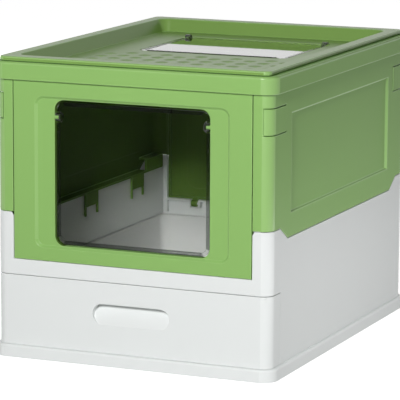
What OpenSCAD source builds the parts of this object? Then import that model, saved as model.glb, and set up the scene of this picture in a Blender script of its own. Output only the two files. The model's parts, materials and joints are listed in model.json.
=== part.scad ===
// Drawer litter box for a cat: a white lower body with a pull-out litter drawer, green walls that
// hook onto it, a clear door flap, and a green lid with a litter-catching tray and a top exit.
// Millimetres. X is the width, Y runs from the doorway (-Y) to the back, Z is up, and the floor is z = 0.

/* [Body] */
// Width over the upright walls
body_w = 355; // [350:1:360]
// Depth over the upright walls
body_d = 466; // [460:1:472]
// Outside radius of the upright corners
body_r = 14; // [13:1:15]
// Height of the tray's rim above the floor
rim_z = 365; // [364:1:368]
// Wall thickness of the moulded shells
wall = 2.5; // [2.2:0.1:2.6]

/* [Lower body] */
// Height of the plinth
plinth_h = 15.5; // [15:0.5:15.5]
// How far the plinth stands proud of the walls
plinth_out = 5; // [4:0.5:5]
// Height of the seam over the drawer's front
drawer_z = 101.4; // [101.4:0.1:102]
// Height of the sill under the front and back panels
sill_z = 121; // [120.5:0.5:121]
// Height of the white side walls
side_z = 162.8; // [160:0.2:166]
// Height of the white corner posts
post_z = 177.9; // [176:0.1:180]

/* [Doorway and exit] */
// Width of the doorway and of the top exit
door_w = 200; // [190:2:200]
// Height of the doorway
door_l = 175.7; // [165:0.1:176]
// Length of the top exit
exit_l = 157.5; // [150:0.5:160]
// Corner radius of the doorway and of the top exit
door_r = 12; // [10:1:14]
// Gap between a flap and the edges beside it
flap_gap = 1.3; // [1:0.1:1.5]
// Gap above the door's flap
top_gap = 3; // [1.5:0.5:4]

/* [Top tray] */
// Width of the tray's rim from its outer to its inner edge
rim_w = 15.5; // [15:0.5:17]
// Depth of the tray's floor below its rim
tray_depth = 16.5; // [16.5:0.5:17.5]
// Distance between rows of drain dimples
dimple_pitch = 27; // [27:0.5:30]

/* [Hidden] */
$fn = 48;

half_w = body_w/2;
half_d = body_d/2;
seam = 0.3;            // half of the dark line between two mouldings
slack = 0.3;           // clearance between mouldings that slide into each other
rest = 0.2;            // gap under a moulding that rests on the plinth
eps = 0.01;            // bite of one solid into the next inside one union
over = 1;              // how far a cutter runs past the face it cuts
white = [0.90, 0.91, 0.91];
green = [0.50, 0.68, 0.36];
smoke = [0.35, 0.37, 0.36, 0.5];

// Double side walls of the lower body
inner_x = half_w - 12;       // outer face of the inner skin
inner_z = drawer_z + 0.6;    // lower edge of the inner skin over the drawer's front
hook_skin = inner_x - wall - slack;   // outer face of the side panels' hooks and inner plates

// End panels and the posts beside them
post_x = half_w - 23.1;      // inner edge of the posts and of the side panels' end flanges
panel_x = post_x - 3*slack;  // half width of an end panel
panel_top = rim_z - 19;      // top edge of all the walls
panel_t = 7;                 // depth of an end panel over its edge flanges
foot = 24;                   // run of the slanted part of the side walls' top edge
slant_y = half_d - 55;       // where the slanted part starts
web_in = 10.5;               // depth of the sill's top web, clear of the folding panel

// Hinge bars of the end panels
hinge_y = half_d - 9;
hinge_z = sill_z - 5;
bar_r = 1.75;
fit = 0.05;                  // radial clearance of a snap on its bar or pin
hook_x = half_w - 63.5;      // middle of each hook from the centre plane
hook_w = 8;
hook_r = 4.6;

hook_y = 141.5;              // middle of the outer hooks of a side panel

// Sunk field of the end panels and of the side panels
field_x = half_w - 55;
field_z0 = sill_z + 19;
field_z1 = panel_top - 29;
field_r = 8.5;
field_t = 2.5;               // how far the field is set back
field_slope = 3;
side_field_y = half_d - 68;
side_field_z0 = side_z + 30.2;
side_field_z1 = panel_top - 37;
side_field_slope = 4;        // run of the slopes at the field's ends
side_field_step = 1.2;       // run of the steep ones along its top and bottom
side_field_t = 2.8;

// Doorway, stub pins and clips; the exit repeats them lying down
door_z0 = sill_z + 19.6;
door_z1 = door_z0 + door_l;
jamb = 12;                   // depth of the wall round the doorway
pin_drop = 20.9;             // from the top edge of the doorway down to the pins
pin_r = 2.75;
pin_tip = door_w/2 - 5.5;    // the pins' ends from the centre plane
flap_t = 2.4;
flap_rim = 4.5;              // width of the flap's raised border
flap_sink = 0.4;             // how far each face is sunk inside the border
pin_y = -half_d + 5.8;       // the door's pins, in the middle of the flap's thickness
clip_r = 5.3;
clip_in = door_w/2 - 8;      // inner end of a snap clip

// Drawer
tub_x = half_w - 15.5;
tub_front = -half_d + 14;
tub_back = half_d - 11;
tub_rim = drawer_z - 2.9;
return_y = half_d - 33;      // the front's returns end here
grip_w = 99.6;
grip_h = 25.2;
grip_z = (plinth_h + drawer_z)/2 + 4.2;

// Lid
band_out = 5;                // how far the lid's band stands proud of the walls
band_z0 = rim_z - 27;
lid_z = rim_z - 5.8;         // top face of the band
rim_x = half_w - 3;          // the tray rim's outer faces
rim_y = half_d - 0.5;
rim_r = 9;
ring_x = rim_x - 7;          // the ring of the lid's frame that stands inside the tray's rim
ring_y = rim_y - 7;
ring_r = 10;
floor_z = rim_z - tray_depth;
tray_t = 2.4;
tray_run = 7;                // how far the tray's walls lean in
exit_y0 = 5.5;               // front edge of the exit
exit_y1 = exit_y0 + exit_l;
exit_pin_drop = 6;           // from the rear edge of the exit forward to its pins
exit_pin_y = exit_y1 - exit_pin_drop;
exit_pin_z = floor_z - 1.4;
exit_drop = 6.6;             // how far the wall round the exit reaches below the tray's floor
exit_r = 2;                  // radius of the exit's rear corners, beside the pins

// Corner clips
clip_z0 = panel_top - 56.5;
clip_z1 = panel_top - 24;
clip_x = half_w - 10.5;      // end of the clip on the front or back face
clip_y = half_d - 47;        // end of the clip on the side face

// ---- shapes ----

// Rectangle w by d about the origin with corners of radius r
module rounded(w, d, r) {
    square([w - 2*r, d], center = true);
    square([w, d - 2*r], center = true);
    for (x = [-1, 1], y = [-1, 1])
        translate([x*(w/2 - r), y*(d/2 - r)]) circle(r);
}

// Slot w by h about the origin, with half-round ends
module pill(w, h) {
    square([w - h, h], center = true);
    for (x = [-1, 1])
        translate([x*(w - h)/2, 0]) circle(h/2);
}

// Rounded block about the Z axis from z0 to z1
module slab(w, d, r, z0, z1) {
    translate([0, 0, z0]) linear_extrude(z1 - z0) rounded(w, d, r);
}

// Upright shell of outside size w by d with walls t thick
module shell(w, d, r, t, z0, z1) {
    difference() {
        slab(w, d, r, z0, z1);
        slab(w - 2*t, d - 2*t, r - t, z0 - over, z1 + over);
    }
}

// Rounded block whose four walls and corners lean: corner centres at (+-cx, +-cy), radius r0 to r1
module leaning(cx, cy, r0, r1, h) {
    rotate([90, 0, 0]) linear_extrude(2*cy, center = true)
        polygon([[-cx - r0, 0], [cx + r0, 0], [cx + r1, h], [-cx - r1, h]]);
    rotate([90, 0, 90]) linear_extrude(2*cx, center = true)
        polygon([[-cy - r0, 0], [cy + r0, 0], [cy + r1, h], [-cy - r1, h]]);
    for (x = [-cx, cx], y = [-cy, cy])
        translate([x, y, 0]) cylinder(h = h, r1 = r0, r2 = r1);
}

// Cutter for a sunk rectangle, with its own run of slope in X and in Y
module sloped_pocket(half_x, half_y, run_x, run_y, h) {
    intersection() {
        rotate([90, 0, 0]) linear_extrude(2*half_y + 2*run_y, center = true)
            polygon([[-half_x - run_x, 0], [half_x + run_x, 0], [half_x, h], [-half_x, h]]);
        rotate([90, 0, 90]) linear_extrude(2*half_x + 2*run_x, center = true)
            polygon([[-half_y - run_y, 0], [half_y + run_y, 0], [half_y, h], [-half_y, h]]);
    }
}

// Block between two corners
module block(a, b) {
    translate(a) cube(b - a);
}

// Stands a shape drawn in X and Y up against the front: its Y becomes Z and its Z points to +Y
module upright(y, z) {
    translate([0, y, z]) rotate([90, 0, 0]) mirror([0, 0, 1]) children();
}

// Repeats a shape on the right and mirrored on the left
module both_sides() {
    children();
    mirror([1, 0, 0]) children();
}

// ---- lower body ----

module base_plate() {
    ledge = 4;
    floor_t = 2.6;
    runner_x = 110;
    rib_top = 11;
    color(white) {
        difference() {
            slab(body_w + 2*plinth_out, body_d + 2*plinth_out, body_r + plinth_out, 0, plinth_h);
            slab(body_w - 2*ledge, body_d - 2*ledge, body_r - ledge, floor_t, plinth_h + over);
        }
        for (x = [-runner_x, runner_x])
            block([x - 3, -half_d + ledge - 1, floor_t - eps], [x + 3, half_d - ledge + 1, plinth_h + rest]);
        for (y = [-165:55:165])
            block([-half_w + ledge - 1, y - 1, floor_t - eps], [half_w - ledge + 1, y + 1, rib_top]);
    }
}

// Outline of the side walls' top edge, seen from the side, as a cutter from there upwards
module above_side_edge(low, high, start) {
    rotate([90, 0, 90]) linear_extrude(body_w + 20, center = true)
        polygon([[-start - foot, high], [-start, low], [start, low], [start + foot, high],
            [start + foot, rim_z], [-start - foot, rim_z]]);
}

// Cheeks and bar that one panel hook turns on, for the front right
module hinge_bar() {
    gap = hook_w/2 + 1.5;
    for (x = [hook_x - gap - wall, hook_x + gap])
        block([x, -half_d + wall - eps, hinge_z - 5.5], [x + wall, -half_d + 11.5, sill_z - 1]);
    translate([hook_x - gap - eps, -hinge_y, hinge_z]) rotate([0, 90, 0])
        cylinder(h = 2*gap + 2*eps, r = bar_r);
}

// Front band or back wall's top web, with notches for the hooks
module sill_web() {
    gap = hook_w/2 + 1.5;
    difference() {
        block([-post_x - 1, -half_d + wall - eps, sill_z - seam - wall],
            [post_x + 1, -half_d + web_in, sill_z - seam]);
        for (x = [-hook_x, hook_x])
            block([x - gap, -half_d + wall, sill_z - 6], [x + gap, -half_d + 15, sill_z + 1]);
    }
}

module base_frame() {
    corner_cut = 4;
    color(white) difference() {
        union() {
            difference() {
                shell(body_w, body_d, body_r, wall, plinth_h, post_z - seam);
                above_side_edge(side_z - seam, post_z - seam, slant_y);
                // gap of the drawer's front and its returns
                block([-half_w - 1, -half_d - 1, plinth_h - 1],
                    [half_w + 1, -return_y + 0.6, drawer_z + seam]);
                // openings for the front and back panels, with cut corners
                for (m = [0, 1]) mirror([0, m, 0])
                    upright(-half_d - 1, 0) linear_extrude(12)
                        polygon([[-post_x, sill_z - seam], [post_x, sill_z - seam],
                            [post_x, post_z - seam - corner_cut], [post_x + corner_cut, post_z + 1],
                            [-post_x - corner_cut, post_z + 1], [-post_x, post_z - seam - corner_cut]]);
            }
            // double side walls, open underneath
            both_sides() {
                block([inner_x - wall, -half_d + 3, inner_z], [inner_x, half_d - 2, side_z - seam]);
                block([inner_x - wall, tub_front + 2, tub_rim + 0.8],
                    [inner_x, half_d - 2, inner_z + eps]);
                block([inner_x - eps, -slant_y, side_z - seam - wall],
                    [half_w - 1, slant_y, side_z - seam]);
            }
            for (m = [0, 1]) mirror([0, m, 0]) {
                sill_web();
                both_sides() {
                    hinge_bar();
                    // edge flange of the post beside the panel
                    block([post_x, -half_d + 1, drawer_z + seam],
                        [post_x + wall, -half_d + 9, post_z - seam - corner_cut]);
                }
            }
        }
    }
}

// ---- drawer ----

module drawer_tub() {
    r_top = 16;
    lean = 3.5;
    mid_y = (tub_front + tub_back)/2;
    half_l = (tub_back - tub_front)/2;
    z0 = plinth_h + rest + slack;
    h = tub_rim - z0;
    color(white) translate([0, mid_y, z0]) difference() {
        union() {
            leaning(tub_x - r_top, half_l - r_top, r_top - lean, r_top, h);
            slab(2*tub_x + 18, 2*half_l + 14, r_top + 7, h - wall, h);
        }
        translate([0, 0, wall])
            leaning(tub_x - r_top, half_l - r_top, r_top - lean - wall, r_top - wall, h - wall + eps);
    }
}

module drawer_front() {
    face = -half_d;
    r = grip_h/2;
    deep = 11.5;
    color(white) {
        difference() {
            union() {
                intersection() {
                    shell(body_w, body_d, body_r, wall, plinth_h + rest, drawer_z - seam);
                    block([-half_w - 1, face - 1, 0], [half_w + 1, -return_y, drawer_z]);
                }
                block([-half_w + 6, face + 1, drawer_z - seam - wall + 0.2],
                    [half_w - 6, tub_front - 3, drawer_z - seam]);
                // housing of the finger grip
                intersection() {
                    upright(face + 1, grip_z) linear_extrude(deep + wall - 1)
                        pill(grip_w + 2*wall, grip_h + 2*wall);
                    grip_wedge(face, deep + wall, grip_z - r - 2*wall, grip_z + r + 2*wall);
                }
            }
            intersection() {
                upright(face - 1, grip_z) linear_extrude(deep + 1) pill(grip_w, grip_h);
                grip_wedge(face, deep, grip_z - r, grip_z + r + 1);
            }
        }
    }
}

// Side view of the grip: shallow at its lower edge and deep under its upper edge
module grip_wedge(face, deep, z0, z1) {
    rotate([90, 0, 90]) linear_extrude(2*grip_w, center = true)
        polygon([[face - 2, z0 - 2], [face, z0], [face + deep, z0 + grip_h*0.85],
            [face + deep, z1], [face - 2, z1]]);
}

// ---- end panels ----

// Set-back field as a cutter from the outer face, centred on the field's middle
module field_cut(half_x, half_z, r, slope, depth) {
    upright(-half_d, (field_z0 + field_z1)/2)
        leaning(half_x - r, half_z - r, r + slope, r, depth);
}

// One C-shaped hook under a panel, for the front right, that turns on its bar
module panel_hook() {
    mouth = 2*bar_r - 0.6;
    difference() {
        union() {
            translate([hook_x - hook_w/2, -hinge_y, hinge_z]) rotate([0, 90, 0])
                cylinder(h = hook_w, r = hook_r);
            block([hook_x - hook_w/2, -hinge_y - hook_r, hinge_z],
                [hook_x + hook_w/2, -hinge_y - 1.2, sill_z + seam + wall]);
        }
        translate([hook_x - hook_w, -hinge_y, hinge_z]) rotate([0, 90, 0])
            cylinder(h = 2*hook_w, r = bar_r + fit);
        block([hook_x - hook_w, -hinge_y - mouth/2, hinge_z - 8],
            [hook_x + hook_w, -hinge_y + mouth/2, hinge_z]);
    }
}

// Panel drawn at the front: skin, edge flanges, sunk field and hooks; through cuts the doorway
module end_panel(through) {
    z0 = sill_z + seam;
    half_z = (field_z1 - field_z0)/2;
    mid = (field_z0 + field_z1)/2;
    edge = field_slope + 1;
    difference() {
        union() {
            block([-panel_x, -half_d, z0], [panel_x, -half_d + wall, panel_top]);
            for (z = [z0, panel_top - wall])
                block([-panel_x, -half_d + 1, z], [panel_x, -half_d + panel_t, z + wall]);
            both_sides()
                block([panel_x - wall, -half_d + 1, z0], [panel_x, -half_d + panel_t, panel_top]);
            upright(-half_d + 1, mid) linear_extrude(field_t + wall - 1)
                rounded(2*(field_x + edge), 2*(half_z + edge), field_r + edge);
            both_sides() panel_hook();
            if (through) {
                // jamb round the doorway
                upright(-half_d + field_t + 1, (door_z0 + door_z1)/2) linear_extrude(jamb - field_t - 1)
                    rounded(door_w + 2*wall, door_l + 2*wall, door_r + wall);
            }
        }
        field_cut(field_x, half_z, field_r, field_slope, field_t);
        if (through)
            upright(-half_d - 1, (door_z0 + door_z1)/2) linear_extrude(jamb + 2)
                rounded(door_w, door_l, door_r);
    }
}

module front_panel() {
    color(green) {
        end_panel(true);
        both_sides() translate([pin_tip, pin_y, door_z1 - pin_drop]) rotate([0, 90, 0])
            cylinder(h = door_w/2 - pin_tip + 1, r = pin_r);
    }
}

module back_panel() {
    color(green) mirror([0, 1, 0]) end_panel(false);
}

// ---- side panels ----

// Window in the corner that one clip fills, for the front right
module clip_window() {
    block([clip_x, -half_d - 2, clip_z0], [half_w + 2, -clip_y, clip_z1]);
}

// Hook plate that hangs over the white inner skin, with two prongs
module side_hook(y) {
    w = 38;
    x = hook_skin;
    prong = 3;
    block([x - wall, y - w/2, side_z - 16.3], [x, y + w/2, side_z + seam + wall]);
    for (s = [y - w/2, y + w/2 - prong])
        block([x - wall, s, side_z - 28], [x, s + prong, side_z - 16]);
}

// Box that closes the panel's corner on the inside, over the rising edge of the white wall
module corner_box() {
    block([hook_skin - wall, -half_d + 11, side_z + seam],
        [hook_skin, -slant_y + 10, post_z + seam + wall]);
    block([hook_skin - eps, -half_d + 11, post_z + seam],
        [half_w - 1, -slant_y, post_z + seam + wall]);
}

// Right side panel with both end flanges
module side_panel() {
    half_z = (side_field_z1 - side_field_z0)/2;
    mid = (side_field_z0 + side_field_z1)/2;
    tip = 4;
    slope = side_field_slope;
    difference() {
        union() {
            difference() {
                shell(body_w, body_d, body_r, wall, 150, panel_top);
                block([-half_w - 1, -half_d - 1, 149], [post_x, half_d + 1, panel_top + 1]);
                for (m = [0, 1]) mirror([0, m, 0])
                    upright(-half_d - 1, 0) linear_extrude(body_r + 1)
                        polygon([[post_x - 1, 140], [half_w + 1, 140], [half_w + 1, post_z + seam],
                            [post_x + tip, post_z + seam], [post_x, post_z + seam - tip],
                            [post_x - 1, post_z + seam - tip]]);
                // slanted lower edge
                rotate([90, 0, 90]) linear_extrude(body_w)
                    polygon([[-half_d, post_z + seam], [-slant_y - foot, post_z + seam],
                        [-slant_y, side_z + seam], [slant_y, side_z + seam],
                        [slant_y + foot, post_z + seam], [half_d, post_z + seam],
                        [half_d, 140], [-half_d, 140]]);
            }
            // edge flanges beside the end panels
            for (m = [0, 1]) mirror([0, m, 0])
                block([post_x, -half_d + 1, post_z + seam], [post_x + wall, -half_d + panel_t, panel_top]);
            // back of the sunk field
            block([half_w - side_field_t - wall, -side_field_y - slope - 1, side_field_z0 - wall],
                [half_w - 1, side_field_y + slope + 1, side_field_z1 + wall]);
            // shelf over the white double wall, and its hooks
            block([hook_skin - wall, -slant_y + 4, side_z + seam],
                [half_w - 1, slant_y - 4, side_z + seam + wall]);
            for (y = [-hook_y, 0, hook_y]) side_hook(y);
            for (m = [0, 1]) mirror([0, m, 0]) corner_box();
            // stiffening rib under the top edge
            block([half_w - 7, -slant_y, panel_top - wall], [half_w - 1, slant_y, panel_top]);
        }
        translate([half_w, 0, mid]) rotate([90, 0, 90]) mirror([0, 0, 1])
            sloped_pocket(side_field_y, half_z, slope, side_field_step, side_field_t);
        for (m = [0, 1]) mirror([0, m, 0]) clip_window();
    }
}

module right_side_panel() {
    color(green) side_panel();
}

module left_side_panel() {
    color(green) mirror([1, 0, 0]) side_panel();
}

// ---- corner clips ----

// Corner catch for the front right: a tongue that fills its window, and a wider flange behind it
module corner_clip() {
    slit = 1.2;
    proud = 0.4;
    flange = 3;
    color(green) {
        intersection() {
            shell(body_w + 2*proud, body_d + 2*proud, body_r + proud, wall + proud,
                clip_z0 + slit, clip_z1 - slit);
            block([clip_x + slack, -half_d - 1, 0], [half_w + 1, -clip_y - slack, rim_z]);
        }
        intersection() {
            shell(body_w - 2*wall - 2*slack, body_d - 2*wall - 2*slack, body_r - wall - slack, 2,
                clip_z0 - flange, clip_z1 + flange);
            block([clip_x - flange, -half_d, 0], [half_w, -clip_y + flange, rim_z]);
        }
        intersection() {
            shell(body_w - 2, body_d - 2, body_r - 1, 3, clip_z0 + slit, clip_z1 - slit);
            block([clip_x + slack, -half_d, 0], [half_w, -clip_y - slack, rim_z]);
        }
    }
}

module front_right_clip() {
    corner_clip();
}

module front_left_clip() {
    mirror([1, 0, 0]) corner_clip();
}

module back_right_clip() {
    mirror([0, 1, 0]) corner_clip();
}

module back_left_clip() {
    mirror([1, 0, 0]) mirror([0, 1, 0]) corner_clip();
}

// ---- flaps ----

// Flap lying flat with its pin axis on X through the origin; its long end reaches to -Y. It fills
// an opening of the given length, whose edge lies drop behind the axis, and keeps a gap there.
module flap(length, drop, gap) {
    w = door_w - 2*flap_gap;
    l = length - gap - flap_gap;
    top = drop - gap;
    notch = 7;
    bore = clip_in + 2;
    difference() {
        union() {
            difference() {
                translate([0, top - l/2, -flap_t/2]) linear_extrude(flap_t)
                    rounded(w, l, door_r - flap_gap);
                for (z = [-flap_t + flap_sink, flap_t - flap_sink])
                    translate([0, top - l/2, z - flap_t/2]) linear_extrude(flap_t)
                        rounded(w - 2*flap_rim, l - 2*flap_rim, door_r - flap_gap - flap_rim);
                both_sides()
                    block([bore - 0.1, -notch, -flap_t], [w, notch, flap_t]);
            }
            both_sides() translate([clip_in, 0, 0]) rotate([0, 90, 0])
                cylinder(h = w/2 - clip_in, r = clip_r);
            // thicker lower edge
            block([-w/2 + door_r, top - l + 0.4, -flap_t/2 - 1],
                [w/2 - door_r, top - l + 3.9, flap_t/2 + 1]);
        }
        both_sides() {
            translate([bore, 0, 0]) rotate([0, 90, 0]) cylinder(h = 20, r = pin_r + fit);
            block([bore, -2.3, 0], [bore + 20, 2.3, 10]);
        }
    }
}

module front_flap() {
    color(smoke) translate([0, pin_y, door_z1 - pin_drop]) rotate([90, 0, 0])
        flap(door_l, pin_drop, top_gap);
}

module top_flap() {
    color(smoke) translate([0, exit_pin_y, exit_pin_z]) rotate([0, 180, 0])
        flap(exit_l, exit_pin_drop, flap_gap);
}

// ---- lid ----

module top_frame() {
    lip = 18.5;
    chamfer = 2;
    w = body_w + 2*band_out;
    d = body_d + 2*band_out;
    r = body_r + band_out + 1;
    color(green) difference() {
        union() {
            shell(w, d, r, wall, band_z0, lid_z - chamfer);
            difference() {
                union() {
                    slab(w - 2, d - 2, r - 1, lid_z - wall, lid_z - chamfer + eps);
                    translate([0, 0, lid_z - chamfer])
                        leaning(w/2 - r, d/2 - r, r, r - chamfer, chamfer);
                }
                slab(w - 2*lip, d - 2*lip + 6, 12, lid_z - 9, lid_z + over);
            }
            // ring that rests on the walls
            shell(body_w, body_d, body_r, wall, panel_top + slack, lid_z - wall + eps);
            // ring inside the tray's rim
            shell(2*ring_x, 2*ring_y, ring_r, wall, lid_z - 1, rim_z - tray_t - 2*slack);
        }
    }
}

// One drain dimple with its hole, as a cutter from the tray's floor
module dimple() {
    rotate_extrude() polygon([[0, -5], [3, -5], [3, -1.2], [6, -1.2], [9.6, 0.05], [0, 0.05]]);
}

module top_tray() {
    in_x = rim_x - rim_w;
    in_y = rim_y - rim_w - 3;
    r = 16;
    chamfer = 1.2;
    h = rim_z - floor_z;
    under = rim_z - tray_t;
    column = dimple_pitch*sqrt(3)/2;
    color(green) {
        difference() {
            union() {
                slab(2*rim_x, 2*rim_y, rim_r, lid_z + 0.6, rim_z - chamfer);
                translate([0, 0, rim_z - chamfer])
                    leaning(rim_x - rim_r, rim_y - rim_r, rim_r, rim_r - chamfer, chamfer);
                translate([0, 0, floor_z - tray_t])
                    leaning(in_x - r, in_y - r, r - tray_run + tray_t, r + tray_t, h);
                exit_ledge();
            }
            // underside of the rim, between its outer wall and the well
            difference() {
                slab(2*rim_x - 2*tray_t, 2*rim_y - 2*tray_t, rim_r - tray_t, lid_z, under);
                translate([0, 0, floor_z - tray_t])
                    leaning(in_x - r, in_y - r, r - tray_run + tray_t, r + tray_t, h);
            }
            translate([0, 0, floor_z])
                leaning(in_x - r, in_y - r, r - tray_run, r, h + eps);
            translate([0, (exit_y0 + exit_y1)/2, floor_z - 10]) linear_extrude(20) exit_shape(0);
            for (i = [-5:5], j = [0:6])
                if (i % 2 == 0 || j < 6)
                    translate([i*column, -186 + dimple_pitch*(j + (i % 2 == 0 ? 0 : 0.5)), floor_z])
                        dimple();
        }
        // stop under the front edge of the exit's flap
        block([-door_w/2 + 20, exit_y0 - 1, floor_z - exit_drop],
            [door_w/2 - 20, exit_y0 + 4, floor_z - exit_drop + tray_t]);
        both_sides() translate([pin_tip, exit_pin_y, exit_pin_z]) rotate([0, 90, 0])
            cylinder(h = door_w/2 - pin_tip + 1, r = pin_r);
    }
}

// Outline of the exit, grown by a margin: wide corners in front and tight ones beside the pins
module exit_shape(grow) {
    rounded(door_w + 2*grow, exit_l + 2*grow, door_r + grow);
    translate([0, exit_l/4]) rounded(door_w + 2*grow, exit_l/2 + 2*grow, exit_r + grow);
}

// Wall that runs down round the exit
module exit_ledge() {
    translate([0, (exit_y0 + exit_y1)/2, floor_z - exit_drop]) linear_extrude(exit_drop - 1)
        exit_shape(tray_t);
}

base_plate();
base_frame();
drawer_tub();
drawer_front();
front_panel();
back_panel();
left_side_panel();
right_side_panel();
front_left_clip();
front_right_clip();
back_left_clip();
back_right_clip();
front_flap();
top_flap();
top_frame();
top_tray();
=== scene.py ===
# %% [markdown]
# # A litter box with a drawer
#
# The object is a plastic box: a white base with a pull-out drawer, green walls, a green lid that
# carries a litter-catching tray, and two smoky clear flaps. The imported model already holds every
# shape and place. This lesson gives those shapes the things that a mould gives them: rounded
# edges, a fine grain, polished corners and a finish.

# %% The fixed frame
import json
import math

import bmesh
import bpy
from mathutils import Matrix, Vector

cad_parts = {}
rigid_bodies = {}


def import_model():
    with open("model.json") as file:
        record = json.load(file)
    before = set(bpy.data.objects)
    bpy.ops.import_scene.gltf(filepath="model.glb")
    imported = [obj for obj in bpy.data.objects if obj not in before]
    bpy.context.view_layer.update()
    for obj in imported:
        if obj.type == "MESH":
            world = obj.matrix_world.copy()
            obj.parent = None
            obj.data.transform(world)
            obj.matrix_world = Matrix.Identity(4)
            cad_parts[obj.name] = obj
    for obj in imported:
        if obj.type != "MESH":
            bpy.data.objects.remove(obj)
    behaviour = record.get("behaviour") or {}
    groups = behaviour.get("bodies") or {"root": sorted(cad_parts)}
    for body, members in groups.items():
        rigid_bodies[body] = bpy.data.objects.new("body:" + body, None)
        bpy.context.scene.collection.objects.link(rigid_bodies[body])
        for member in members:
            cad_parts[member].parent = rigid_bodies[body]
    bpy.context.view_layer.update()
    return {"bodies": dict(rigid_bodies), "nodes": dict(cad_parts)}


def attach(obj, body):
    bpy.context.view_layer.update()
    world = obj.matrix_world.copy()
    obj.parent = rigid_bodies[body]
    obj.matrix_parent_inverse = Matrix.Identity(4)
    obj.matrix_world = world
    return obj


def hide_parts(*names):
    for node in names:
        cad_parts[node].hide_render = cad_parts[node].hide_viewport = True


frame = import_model()
nodes = frame["nodes"]
MM = 0.001

# %% [markdown]
# ## The camera
#
# The camera stands low at the front right corner and looks slightly down with a long lens, so
# the box keeps nearly parallel sides. It could be aimed with a Track To constraint, but a matrix
# written from its yaw, pitch and roll is exact and stays put.

# %% A long lens, aimed by its three angles
YAW, PITCH, ROLL = 0.40354, 0.17754, 0.00489
CAMERA_PLACE = (1.34397, -3.17301, 0.78381)
SENSOR_WIDTH, FOCAL_LENGTH, SIGHT = 36.0, 251.46, 60.0
forward = Vector((
    -math.sin(YAW) * math.cos(PITCH),
    math.cos(YAW) * math.cos(PITCH),
    -math.sin(PITCH),
))
level = Vector((math.cos(YAW), math.sin(YAW), 0.0))
upright = level.cross(forward)
side_axis = level * math.cos(ROLL) + upright * math.sin(ROLL)
up_axis = upright * math.cos(ROLL) - level * math.sin(ROLL)

camera = bpy.data.objects.new("camera", bpy.data.cameras.new("camera"))
bpy.context.scene.collection.objects.link(camera)
camera.data.sensor_width = SENSOR_WIDTH
camera.data.lens = FOCAL_LENGTH
camera.data.clip_end = SIGHT
camera.matrix_world = Matrix.Translation(CAMERA_PLACE) @ Matrix((
    side_axis, up_axis, -forward
)).transposed().to_4x4()
bpy.context.scene.camera = camera
print("camera at", tuple(round(c, 3) for c in camera.location))

# %% [markdown]
# ## Floor, sky and lamps
#
# A satin box shows its form best when its front is much brighter than its side. The key is a
# small soft box nearly in front and a little above. The front and the round corners take most of
# its light, the green side gets about half as much, and the top little. Two weak lamps, one beside
# the box and one close over the floor, stand for the light that a pale room gives back, and a wide
# one behind keeps the back wall readable without shining on the lid's rim.
#
# The floor is a plain pale sheet. Where the camera, a reflection or a clear flap sees it, it adds
# a light of its own, so it reads as white paper but still keeps the faint shadow under the box.
# The sky does the same: it lights the box only a little and shows as plain white.

# %% Small helpers for node trees
def new_tree(name):
    """A material with an empty node tree; returns the material, a maker and a joiner."""
    material = bpy.data.materials.new(name)
    material.use_nodes = True
    material.node_tree.nodes.clear()
    return material, *hands(material.node_tree)


def hands(tree):
    """Two tools for a node tree: add(kind, input values, node settings) and join(a, b)."""
    def add(kind, inputs=None, **settings):
        node = tree.nodes.new(kind)
        for name, value in settings.items():
            setattr(node, name, value)
        for name, value in (inputs or {}).items():
            node.inputs[name].default_value = value
        return node

    def join(out_socket, in_socket):
        tree.links.new(out_socket, in_socket)

    return add, join


def seen_rays(add, join):
    """1 where the eye looks, straight or by way of gloss and glass; 0 for light on a surface."""
    path = add("ShaderNodeLightPath")
    total = path.outputs["Is Camera Ray"]
    for name in ("Is Glossy Ray", "Is Transmission Ray"):
        both = add("ShaderNodeMath", operation="MAXIMUM")
        join(total, both.inputs[0])
        join(path.outputs[name], both.inputs[1])
        total = both.outputs[0]
    # A ray that has left a matt wall, or has turned many times, carries light and no picture.
    for name, most in (("Diffuse Depth", 0.5), ("Ray Depth", 3.5)):
        straight = add("ShaderNodeMath", {1: most}, operation="LESS_THAN")
        join(path.outputs[name], straight.inputs[0])
        seen = add("ShaderNodeMath", operation="MULTIPLY")
        join(total, seen.inputs[0])
        join(straight.outputs[0], seen.inputs[1])
        total = seen.outputs[0]
    return total


# %% White room
SKY_LIGHT = 0.02
world = bpy.data.worlds.new("white_room")
bpy.context.scene.world = world
world.use_nodes = True
world.node_tree.nodes.clear()
add, join = hands(world.node_tree)
strength = add("ShaderNodeMapRange", {"To Min": SKY_LIGHT, "To Max": 1.0})
join(seen_rays(add, join), strength.inputs["Value"])
sky = add("ShaderNodeBackground", {"Color": (1.0, 1.0, 1.0, 1.0)})
join(strength.outputs["Result"], sky.inputs["Strength"])
join(sky.outputs[0], add("ShaderNodeOutputWorld").inputs["Surface"])

FLOOR_GLOW, FLOOR_GREY, FLOOR_HALF = 0.97, 0.6, 14.0
paper, add, join = new_tree("paper_floor")
matt = add("ShaderNodeBsdfDiffuse", {"Color": (FLOOR_GREY, FLOOR_GREY, FLOOR_GREY, 1.0)})
glow = add("ShaderNodeEmission", {"Color": (1.0, 1.0, 1.0, 1.0)})
amount = add("ShaderNodeMath", {1: FLOOR_GLOW}, operation="MULTIPLY")
join(seen_rays(add, join), amount.inputs[0])
join(amount.outputs[0], glow.inputs["Strength"])
both = add("ShaderNodeAddShader")
join(matt.outputs[0], both.inputs[0])
join(glow.outputs[0], both.inputs[1])
join(both.outputs[0], add("ShaderNodeOutputMaterial").inputs["Surface"])

sheet = bmesh.new()
bmesh.ops.create_grid(sheet, x_segments=1, y_segments=1, size=FLOOR_HALF)
floor_mesh = bpy.data.meshes.new("floor")
sheet.to_mesh(floor_mesh)
sheet.free()
floor_mesh.materials.append(paper)
floor = bpy.data.objects.new("floor", floor_mesh)
bpy.context.scene.collection.objects.link(floor)
print("white room: sky", SKY_LIGHT, "floor glow", FLOOR_GLOW)

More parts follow.
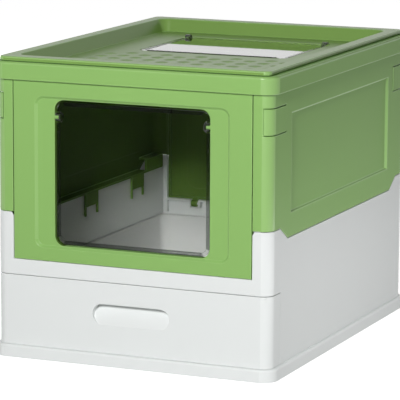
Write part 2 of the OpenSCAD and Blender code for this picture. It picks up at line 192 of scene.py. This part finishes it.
# %% Soft boxes
LAMP_TARGET = Vector((0, 0, 0.2))


def soft_box(name, azimuth, elevation, distance, width, height, watts):
    """An area lamp at some distance, facing the box; azimuth 0 is the front, 90 the right."""
    turn, lift = math.radians(azimuth), math.radians(elevation)
    away = Vector((
        math.sin(turn) * math.cos(lift),
        -math.cos(turn) * math.cos(lift),
        math.sin(lift),
    ))
    light = bpy.data.lights.new(name, "AREA")
    light.shape = "RECTANGLE"
    light.size, light.size_y, light.energy = width, height, watts
    lamp = bpy.data.objects.new(name, light)
    lamp.location = LAMP_TARGET + away * distance
    lamp.rotation_mode = "QUATERNION"
    lamp.rotation_quaternion = away.to_track_quat("Z", "Y")
    bpy.context.scene.collection.objects.link(lamp)
    return lamp


soft_box("key_box", 9.5, 23, 3.0, 0.4, 0.6, 66)
soft_box("side_box", 74, 8, 1.6, 0.8, 0.8, 0.35)
low_box = soft_box("low_box", 90, -16, 0.5, 0.8, 0.08, 0.6)
low_box.visible_camera = False
soft_box("back_box", -122, 4, 3.0, 1.0, 0.8, 30)
print("lamps:", len(bpy.data.lights))

# %% [markdown]
# ## What moulded plastic looks like
#
# Injection-moulded walls have a fine spark-eroded grain, a very faint cloudiness where the
# melt flowed, and edges that the steel polishes a little smoother than the flats. All plastics
# here share those effects, so they are one node group with named inputs. It gives out a tone, a
# roughness and a normal, and each material uses them with its own values.

# %% The shared moulded-surface group
def build_moulded_surface():
    """Group: tone and roughness that vary a little with the flow clouds, and a normal with grain.
    """
    group = bpy.data.node_groups.new("moulded_surface", "ShaderNodeTree")
    face = group.interface
    for name, value in (
        ("Grain Size", 0.0006), ("Grain Height", 0.00003), ("Flow", 0.03),
        ("Roughness", 0.4),
    ):
        face.new_socket(name, in_out="INPUT", socket_type="NodeSocketFloat").default_value = value
    face.new_socket("Tone", in_out="OUTPUT", socket_type="NodeSocketFloat")
    face.new_socket("Roughness", in_out="OUTPUT", socket_type="NodeSocketFloat")
    face.new_socket("Normal", in_out="OUTPUT", socket_type="NodeSocketVector")
    add, join = hands(group)
    given, made = add("NodeGroupInput"), add("NodeGroupOutput")
    place = add("ShaderNodeTexCoord").outputs["Object"]

    # Flow clouds: large soft patches, stretched along the height of the walls.
    stretch = add("ShaderNodeMapping", {"Scale": (1.0, 1.0, 0.45)})
    join(place, stretch.inputs["Vector"])
    clouds = add("ShaderNodeTexNoise", {"Scale": 9.0, "Detail": 3.0, "Roughness": 0.55})
    join(stretch.outputs[0], clouds.inputs["Vector"])
    centred = add("ShaderNodeMath", {1: 0.5}, operation="SUBTRACT")
    join(clouds.outputs[0], centred.inputs[0])
    swing = add("ShaderNodeMath", operation="MULTIPLY")
    join(centred.outputs[0], swing.inputs[0])
    join(given.outputs["Flow"], swing.inputs[1])
    tone = add("ShaderNodeMath", {1: 1.0}, operation="ADD")
    join(swing.outputs[0], tone.inputs[0])
    join(tone.outputs[0], made.inputs["Tone"])

    # Grain: small cells, as a spark-eroded mould leaves them.
    pitch = add("ShaderNodeMath", {0: 1.0}, operation="DIVIDE")
    join(given.outputs["Grain Size"], pitch.inputs[1])
    grain = add("ShaderNodeTexNoise", {"Detail": 2.0, "Roughness": 0.6})
    join(place, grain.inputs["Vector"])
    join(pitch.outputs[0], grain.inputs["Scale"])
    bump = add("ShaderNodeBump", {"Strength": 1.0})
    join(grain.outputs[0], bump.inputs["Height"])
    join(given.outputs["Grain Height"], bump.inputs["Distance"])
    join(bump.outputs[0], made.inputs["Normal"])

    rougher = add("ShaderNodeMath", operation="ADD", use_clamp=True)
    join(swing.outputs[0], rougher.inputs[0])
    join(given.outputs["Roughness"], rougher.inputs[1])
    join(rougher.outputs[0], made.inputs["Roughness"])
    return group


moulded_surface = build_moulded_surface()
print("group:", moulded_surface.name, "with", len(moulded_surface.nodes), "nodes")

# %% [markdown]
# ## Green and white plastic
#
# The shells are dyed through, in a satin green and a satin white. They could be painted with an
# image, but one Principled shader on the shared group follows every piece without a UV map. The
# green edges are glossier, and the green and white edges are a shade lighter than the flats, which
# is a painted sheen. The lid's tray has its own green, and the litter tub a greyer white, which is
# painted shade.
#
# The walls' inner side has a darker green of its own, which is painted shade. That is a correction
# of the lighting and not a claim about the plastic: with one green on both sides these lamps made
# the inside too light. Under other lamps, give the inner green the values of green_plastic.

# %% Opaque plastics
LINEAR_PART = 0.04045


def srgb(*levels):
    """Screen colour 0-255 to linear light, with alpha 1."""
    scaled = [level / 255 for level in levels]
    return *(c / 12.92 if c < LINEAR_PART else ((c + 0.055) / 1.055) ** 2.4 for c in scaled), 1.0


def plastic(name, colour, roughness, grain_height, flow=0.05, gloss=0.5):
    """A coloured moulded plastic made of the shared group and one Principled shader."""
    material, add, join = new_tree(name)
    surface = add("ShaderNodeGroup", node_tree=moulded_surface)
    surface.inputs["Roughness"].default_value = roughness
    surface.inputs["Grain Height"].default_value = grain_height
    surface.inputs["Flow"].default_value = flow
    toned = add("ShaderNodeVectorMath", operation="SCALE")
    toned.inputs[0].default_value = colour[:3]
    join(surface.outputs["Tone"], toned.inputs["Scale"])
    shader = add("ShaderNodeBsdfPrincipled", {"IOR": 1.49, "Specular IOR Level": gloss})
    join(toned.outputs[0], shader.inputs["Base Color"])
    join(surface.outputs["Roughness"], shader.inputs["Roughness"])
    join(surface.outputs["Normal"], shader.inputs["Normal"])
    join(shader.outputs[0], add("ShaderNodeOutputMaterial").inputs["Surface"])
    return material


green = plastic("green_plastic", srgb(144, 187, 107), 0.42, 0.00002, gloss=0.1)
# A shade lighter than green_plastic: a painted sheen on the polished edges and corners.
green_edge_painted_sheen = plastic("green_plastic_edge_painted_sheen", srgb(146, 189, 108), 0.3, 0.00001, gloss=0.6)
# A darker green for the walls' inner side: painted shade.
green_inside_painted_shade = plastic("green_plastic_inside_painted_shade", srgb(96, 130, 52), 0.6, 0.00004, gloss=0.1)
white = plastic("white_plastic", srgb(232, 235, 234), 0.45, 0.00002, 0.02)
# A shade lighter than white_plastic: a painted sheen on the polished edges and corners.
white_edge_painted_sheen = plastic("white_plastic_edge_painted_sheen", srgb(236, 239, 238), 0.36, 0.00001, 0.02)
# A greyer white for the tub inside the box: painted shade, to keep the inside dark.
tub_white_painted_shade = plastic("tub_white_painted_shade_plastic", srgb(222, 223, 222), 0.5, 0.00002, 0.02)
tray_green = plastic("tray_green_plastic", srgb(121, 158, 75), 0.33, 0.00002, gloss=0.35)
print("plastics:", green.name, white.name, tray_green.name)

# %% [markdown]
# ## Clear plastic
#
# The flaps are a smoky clear plastic. Glass alone would throw a dark shadow, because it stops the
# shadow rays that look for a lamp. So a shadow ray meets a transparent filter instead, and every
# other ray meets the glass.

# %% Clear smoky plastic
def clear_plastic(name, tint, shade, roughness, ior, gloss=0.0):
    """Smoky sheet: glass for the eye, and a darker filter for the light that falls through."""
    material, add, join = new_tree(name)
    surface = add("ShaderNodeGroup", node_tree=moulded_surface)
    surface.inputs["Roughness"].default_value = roughness
    surface.inputs["Grain Height"].default_value = 0.000002
    surface.inputs["Grain Size"].default_value = 0.02
    surface.inputs["Flow"].default_value = 0.02
    shader = add("ShaderNodeBsdfPrincipled", {
        "Base Color": tint, "IOR": ior, "Transmission Weight": 1.0,
        "Coat Weight": gloss, "Coat Roughness": 0.03,
    })
    join(surface.outputs["Roughness"], shader.inputs["Roughness"])
    join(surface.outputs["Normal"], shader.inputs["Normal"])
    through = add("ShaderNodeBsdfTransparent", {"Color": shade})
    path = add("ShaderNodeLightPath")
    mixed = add("ShaderNodeMixShader")
    join(path.outputs["Is Shadow Ray"], mixed.inputs[0])
    join(shader.outputs[0], mixed.inputs[1])
    join(through.outputs[0], mixed.inputs[2])
    join(mixed.outputs[0], add("ShaderNodeOutputMaterial").inputs["Surface"])
    return material


TINT, SHADE = (0.84, 0.84, 0.83, 1.0), (0.82, 0.83, 0.82, 1.0)
smoky = clear_plastic("smoky_door_plastic", TINT, SHADE, 0.02, 1.06)
# A darker tint for the door flap's border and edges: painted shade, for the deep jamb's shadow
# seen through them.
smoky_edge_painted_shade = clear_plastic("smoky_edge_painted_shade_plastic", (0.36, 0.37, 0.36, 1.0), SHADE, 0.03, 1.12)
lid_edge = clear_plastic("lid_edge_plastic", TINT, SHADE, 0.1, 1.3)
clip_plastic = clear_plastic("clip_plastic", (0.3, 0.31, 0.3, 1.0), SHADE, 0.05, 1.5)
smoky_lid = clear_plastic("smoky_lid_plastic", TINT, (0.35, 0.36, 0.35, 1.0), 0.02, 1.3, 0.8)
print("clear:", smoky.name)

# %% [markdown]
# ## Rounding a moulded piece
#
# No moulded edge is truly sharp. Each CAD node is copied, its loose triangles are joined, flat
# areas are cleared of spare edges, and nearly every crease is rounded, most by a millimetre or
# less. A fixed width would tear small features such as pin ends, so each crease first gets a
# weight, at most as wide as its neighbours leave room for. A Bevel modifier reads those weights,
# and gives its new faces to the second material, the one for polished edges. On the green and
# white shells that material is also a shade lighter, which is a painted sheen, and on the door
# flap it is darker, which is painted shade.

# %% The rounding helper
WELD, FLAT = 0.002, 0.2  # millimetres and degrees: what counts as joined and as flat
STRAIGHT, CREASE = 150, 20  # degrees: an edge that runs on, and the least bend of a crease
WIDEST, ROOM_SHARE = 4.0, 0.4  # millimetres, and the part of its neighbour a rounding may use
UPRIGHT = 0.1  # a corner's normal rises less than this and leaves both axes by more


def working_copy(node):
    """A bmesh of a CAD node with its triangles joined and its flats cleared."""
    shape = bmesh.new()
    shape.from_mesh(nodes[node].data)
    bmesh.ops.remove_doubles(shape, verts=shape.verts, dist=WELD * MM)
    bmesh.ops.dissolve_limit(
        shape, angle_limit=math.radians(FLAT), verts=shape.verts, edges=shape.edges
    )
    return shape


def room_beside(edge):
    """The length of the shortest neighbour that turns away from this crease."""
    room = 1.0
    for corner in edge.link_loops:
        for other, at in ((corner.link_loop_prev, corner.vert), (
            corner.link_loop_next, corner.link_loop_next.vert
        )):
            here = edge.other_vert(at).co - at.co
            there = other.edge.other_vert(at).co - at.co
            if here.angle(there, 0.0) < math.radians(STRAIGHT):
                room = min(room, there.length)
    return room


def depth_inside(at, outline):
    """How deep a point lies inside a rounded rectangle, seen from above; all in millimetres."""
    half_x, half_y, radius = outline
    past_x, past_y = abs(at.x) - half_x + radius, abs(at.y) - half_y + radius
    return radius - math.hypot(max(past_x, 0), max(past_y, 0)) - min(max(past_x, past_y), 0)


def is_crease(edge):
    """True where two faces meet at more than the small steps of a round surface."""
    return edge.is_manifold and edge.calc_face_angle(0.0) > math.radians(CREASE)


def weigh_creases(shape, width, special=None):
    """Gives every crease a bevel weight; one with no width stays a sharp line."""
    layer = shape.edges.layers.float.new("bevel_weight_edge")
    count = 0
    for edge in shape.edges:
        if not is_crease(edge):
            continue
        middle = (edge.verts[0].co + edge.verts[1].co) / 2 / MM
        wish = special(middle) if special else None
        wish = width if wish is None else wish
        edge[layer] = min(wish * MM, ROOM_SHARE * room_beside(edge)) / (WIDEST * MM)
        edge.smooth = wish > 0
        count += 1
    return count


def is_corner(face):
    """True on the curved upright corners, which get the edges' material: polished like the edges,
    and on the shells a shade lighter, a painted sheen.
    """
    across = abs(face.normal.x), abs(face.normal.y)
    return min(across) > UPRIGHT and abs(face.normal.z) < UPRIGHT


body_of = {
    child.name: body for body, empty in frame["bodies"].items() for child in empty.children
}


def finish_piece(shape, name, node, finish, steps=2):
    """Writes the mesh, rounds and shades it, and lets the piece stand for its CAD node."""
    for face in shape.faces:
        face.smooth = True
        face.material_index = int(is_corner(face))
    many = [face for face in shape.faces if len(face.verts) > 4]
    bmesh.ops.triangulate(shape, faces=many, quad_method="BEAUTY", ngon_method="BEAUTY")
    mesh = bpy.data.meshes.new(name)
    shape.to_mesh(mesh)
    shape.free()
    slot, body_material, edge_material = finish
    mesh.materials.append(body_material)
    mesh.materials.append(edge_material)
    piece = bpy.data.objects.new(name, mesh)
    bpy.context.scene.collection.objects.link(piece)
    bevel = piece.modifiers.new("rounded_edges", "BEVEL")
    bevel.limit_method = "WEIGHT"
    bevel.width = WIDEST * MM
    bevel.segments = steps
    bevel.use_clamp_overlap = False
    bevel.loop_slide = False
    bevel.material = 1
    flats = piece.modifiers.new("flat_faces_stay_flat", "WEIGHTED_NORMAL")
    flats.mode = "FACE_AREA"
    flats.weight = 50
    flats.keep_sharp = True
    body = body_of[node]
    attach(piece, body)
    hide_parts(node)
    print(f"{name}: {len(mesh.polygons)} faces on body {body}")
    return piece


# %% [markdown]
# ## Finishes and the inner side
#
# Each moulding has one finish: a slot, a plastic for its faces and one for its edges. The inner
# side could be a piece of its own, but it is the same moulding, so it is only a third material on
# the faces that look into the box: a darker green, which is painted shade.

# %% Finishes by slot
white_finish = ("white_shell", white, white_edge_painted_sheen)
green_finish = ("green_shell", green, green_edge_painted_sheen)
# The tub's greyer white is painted shade.
tub_finish = ("white_shell", tub_white_painted_shade, tub_white_painted_shade)  # one greyer white, corners included
tray_finish = ("green_shell", tray_green, green_edge_painted_sheen)
door_finish = ("smoky_clear", smoky, smoky_edge_painted_shade)
exit_finish = ("smoky_clear", smoky_lid, lid_edge)
PLINTH_OUTLINE, BODY_OUTLINE = (182.5, 238.0, 19.0), (177.5, 233.0, 14.0)
SKIN, DEEP, NEVER = 2, 5, 99
finished = []


def mould(node, finish, width, special=None, steps=2):
    """The whole way from a CAD node to its rounded, finished piece, which it returns."""
    shape = working_copy(node)
    count = weigh_creases(shape, width, special=special)
    print(f"{node}: {count} creases up to {width} mm")
    finished.append(finish_piece(shape, node + "_moulding", node, finish, steps))
    return finished[-1]


def paint_inside_shade(piece, deep=DEEP):
    """Paints shade on the inside: gives the darker green to the faces that look into the box, and
    to all that lies deeper than so many millimetres, such as the hooks."""
    piece.data.materials.append(green_inside_painted_shade)
    for face in piece.data.polygons:
        middle, out = face.center / MM, face.normal
        depth = depth_inside(middle, BODY_OUTLINE)
        looks_in = out.x * middle.x + out.y * middle.y < 0
        if depth > deep or (depth > SKIN and looks_in):
            face.material_index = 2


# %% [markdown]
# ## The white base
#
# The plinth is a shallow tray. Its upper outer edge is the roundest of all and shows as a soft
# line of light. The frame stands on the plinth with no gap to speak of, so its lowest edges stay
# sharp: a rounding there would open a groove between the two.

# %% Plinth and lower frame
PLINTH_TOP, PLINTH_FOOT = 15.5, 2
RIM_LINE, SEAM, BARS_DEPTH = 0.6, 1, 3


def plinth_edges(at):
    """2.4 mm round the outside on top, next to nothing where the frame stands."""
    if at.z > PLINTH_TOP - RIM_LINE and depth_inside(at, PLINTH_OUTLINE) < SKIN:
        return 2.4
    return 0.25 if at.z > PLINTH_FOOT else None


def frame_edges(at):
    """Sharp at the plinth, small round the hinge bars, generous along the open edges."""
    if at.z < PLINTH_TOP + SEAM:
        return 0.0
    return 0.35 if depth_inside(at, BODY_OUTLINE) > BARS_DEPTH else None


mould("base_plate", white_finish, 0.8, plinth_edges, steps=3)
mould("base_frame", white_finish, 0.9, frame_edges)

# %% [markdown]
# ## The drawer
#
# The litter tub is a plain leaning pan with a flange. The front is a separate shell that hooks on
# it, wraps both corners and has a slanted finger grip sunk into it. The grip's mouth keeps one
# even and nearly sharp edge all round, because a width that changed along it would tear its arcs.

# %% Tub and front
TUB_RIM = 94
GRIP_HALF, GRIP_LOW, GRIP_HIGH = 60, 45, 80
FRONT_SKIN = 1


def tub_edges(at):
    """A soft rim on top and a small radius elsewhere."""
    return 0.9 if at.z > TUB_RIM else 0.5


def drawer_edges(at):
    """Small at the grip's mouth, crisp at the bottom, which stands close over the plinth."""
    if at.z < PLINTH_TOP + SEAM:
        return 0.1
    if abs(at.x) < GRIP_HALF and GRIP_LOW < at.z < GRIP_HIGH:
        return 0.12
    return None if depth_inside(at, BODY_OUTLINE) < FRONT_SKIN else 0.4


mould("drawer_tub", tub_finish, 0.6, tub_edges)
mould("drawer_front", white_finish, 0.6, drawer_edges, steps=3)

# %% [markdown]
# ## The end panels
#
# Both end panels are thin skins with a rim, a sunk field and two hooks that turn on the frame's
# bars. The front one has the doorway, with a deep jamb and two stub pins for the flap. The outer
# outline is rounded most. The field, the jamb, the hooks and the pins have narrow faces beside
# their edges, so they get only a quarter of a millimetre.

# %% Front and back panels
PANEL_FACE = 232
PANEL_SIDE, PANEL_HEAD = 145, 340
PANEL_FOOT = (121, 125)


def panel_edges(at):
    """Outline 0.8 mm; field, jamb, hooks and pins 0.25 mm."""
    on_outline = (
        abs(at.x) > PANEL_SIDE or at.z > PANEL_HEAD or PANEL_FOOT[0] < at.z < PANEL_FOOT[1]
    )
    return 0.8 if abs(at.y) > PANEL_FACE and on_outline else 0.25


# The jamb lies deep but shows from outside, so the front panel's depth doesn't give it the painted
# shade.
for node, deep in (("front_panel", NEVER), ("back_panel", DEEP)):
    paint_inside_shade(mould(node, green_finish, 0.8, panel_edges), deep)

# %% [markdown]
# ## The side panels and their catches
#
# The side panels wrap the corners, so the upright corners are one smooth curve. Each corner has a
# window that a small catch fills. The catch stands a hair proud of the wall, with a slit above and
# one below it, and those slits are what shows from outside.

# %% Side panels and catches
def side_edges(at):
    """Outline and windows 0.8 mm; hooks and inner boxes, which nobody touches, 0.35 mm."""
    return 0.35 if depth_inside(at, BODY_OUTLINE) > DEEP else None


for side in ("left", "right"):
    paint_inside_shade(mould(side + "_side_panel", green_finish, 0.8, side_edges))
for end in ("front", "back"):
    for side in ("left", "right"):
        paint_inside_shade(mould(f"{end}_{side}_clip", green_finish, 0.4))

# %% [markdown]
# ## The lid
#
# The ring covers the top of the walls. The tray lies in it with a broad flat rim, a leaning wall
# and a floor full of drain dimples. The rim's outer edge is chamfered in the CAD shape, so a small
# radius on both lines of the chamfer is enough to let it catch the light.

# %% Ring and tray
BAND_OUTLINE, TRAY_RIM = (182.5, 238.0, 20.0), 358


def ring_edges(at):
    """1 mm along the band, 0.4 mm inside."""
    return None if depth_inside(at, BAND_OUTLINE) < SKIN else 0.4


def tray_edges(at):
    """1.1 mm along the rim, 0.25 mm on the dimples, the exit and underneath."""
    return None if at.z > TRAY_RIM else 0.25


mould("top_frame", green_finish, 1.0, ring_edges)
mould("top_tray", tray_finish, 1.1, tray_edges)

# %% [markdown]
# ## The clear flaps
#
# Both flaps are smoky clear plates with a raised border and two C clips that snap on stub pins.
# A thin polished plate hardly shows, so the door's gets an index close to that of air, which is
# lower than any real plastic's, and bends what stands behind it very little. The exit's lies flat
# and mirrors the room, so it has a higher index and a coat. The door's border is thicker and reads
# as a dark frame: its darker plastic is painted shade, the shadow of the deep jamb seen through
# the plate's edge. The clips get a darker plastic too.

# %% Door flap and exit flap
# The border's width; on the door flap the border carries painted shade.
FLAP_BORDER = 4.6
CLIP_REACH, CLIP_SIDE = 8, 90
DOOR_PIN, EXIT_PIN = 295.4, 157.0


def tint_edges(piece, reach, pin):
    """Gives the border the edge plastic, which on the door flap is darker as painted shade, and
    the two snap clips near the pins their own; the plate reaches away from its pins along axis 1
    or 2."""
    piece.data.materials.append(clip_plastic)
    spots = [vertex.co / MM for vertex in piece.data.vertices]
    low, high = min(at[reach] for at in spots), max(at[reach] for at in spots)
    half = max(at.x for at in spots)
    count = 0
    for face in piece.data.polygons:
        corners = [spots[at] for at in face.vertices]
        margins = [min(half - abs(at.x), at[reach] - low, high - at[reach]) for at in corners]
        if all(abs(at[reach] - pin) < CLIP_REACH and abs(at.x) > CLIP_SIDE for at in corners):
            face.material_index = 2
            count += 1
        elif max(margins) < FLAP_BORDER:
            face.material_index = 1
    return count


for node, finish, reach, pin in (
    ("front_flap", door_finish, 2, DOOR_PIN), ("top_flap", exit_finish, 1, EXIT_PIN),
):
    print(node, "clip faces:", tint_edges(mould(node, finish, 0.15), reach, pin))
print("pieces:", len(finished))

# %% [markdown]
# ## The end
#
# Rounding takes material away, so the finished pieces should fill the same box as the CAD model.

# %% The end
bpy.context.scene.view_settings.view_transform = "Standard"
